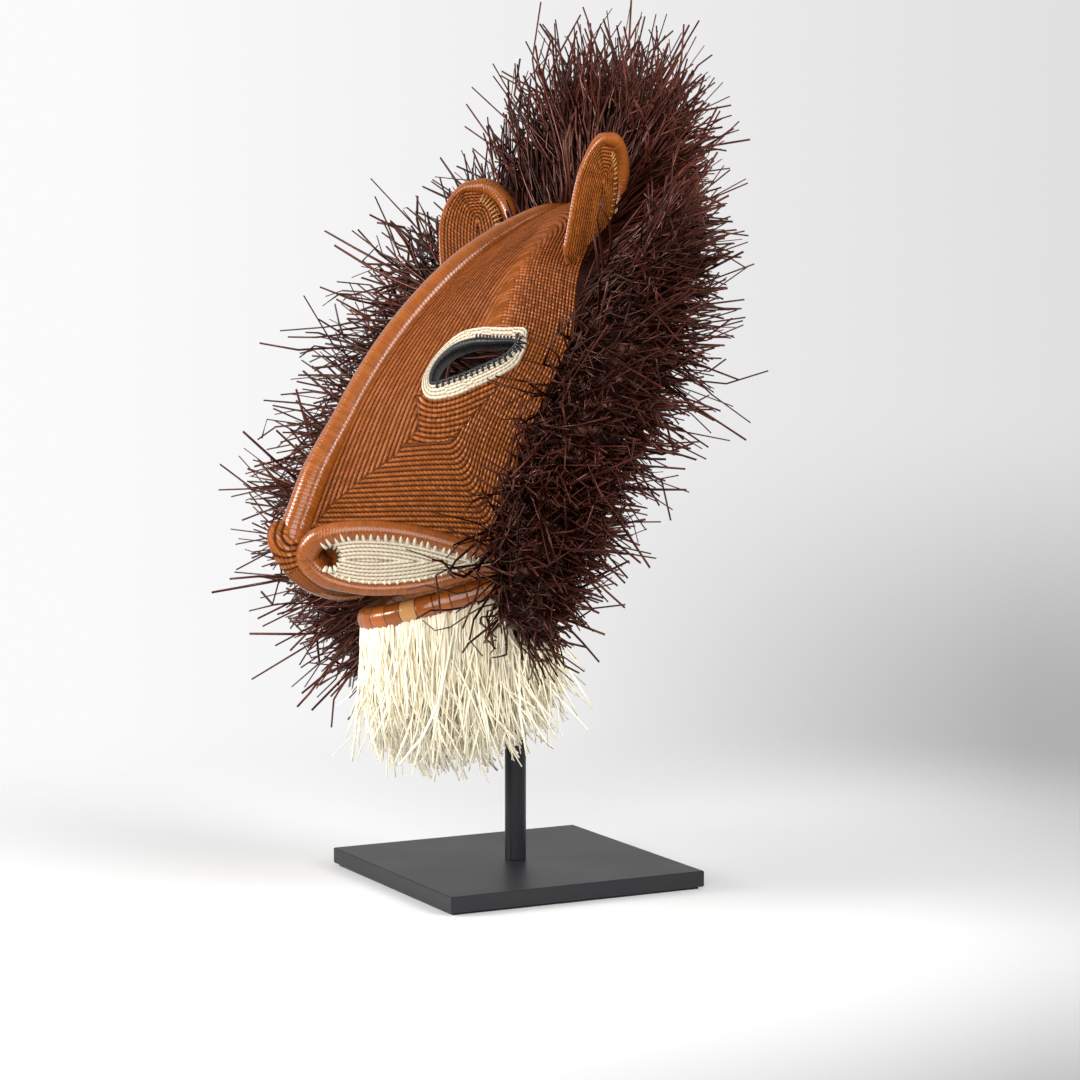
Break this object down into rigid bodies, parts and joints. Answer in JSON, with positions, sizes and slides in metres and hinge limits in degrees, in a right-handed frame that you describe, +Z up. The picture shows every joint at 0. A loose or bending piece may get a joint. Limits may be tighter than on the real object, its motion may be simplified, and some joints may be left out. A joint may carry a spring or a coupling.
{
  "type": "woven mask",
  "caption": "Coiled basketry animal mask with a fibre mane and beard, leaning on the rod of a square steel display stand.",
  "frame": {"origin": "middle of the stand's underside, where the felt meets the table", "axes": "+Z up, -Y the way the mask faces, +X to the animal's left"},
  "size_m": [0.3939, 0.2728, 0.5126],
  "materials": {
    "felt": "matte black felt",
    "black_steel": "satin black powder coat",
    "woven_brown": "glossy stitched palm fibre, warm brown",
    "wrapped_brown": "glossy wrapped palm fibre, red brown",
    "cream_coil": "matte stitched natural fibre",
    "black_fibre": "satin black fibre",
    "mane_fibre": "satin dyed fibre, dark red brown",
    "cream_fibre": "matte natural fibre"
  },
  "bodies": {
    "root": {"felt_pad": "felt", "base_plate": "black_steel", "rod": "black_steel", "face_shell": "woven_brown", "eye_border_left": "cream_coil", "eye_border_right": "cream_coil", "eye_rim_left": "black_fibre", "eye_rim_right": "black_fibre", "muzzle_border_left": "wrapped_brown", "muzzle_border_right": "wrapped_brown", "muzzle_panel_left": "cream_coil", "muzzle_panel_right": "cream_coil", "ear_left": "woven_brown", "ear_right": "woven_brown", "lower_lip": "wrapped_brown", "beard": "cream_fibre", "mane": "mane_fibre"}
  },
  "joints": []
}
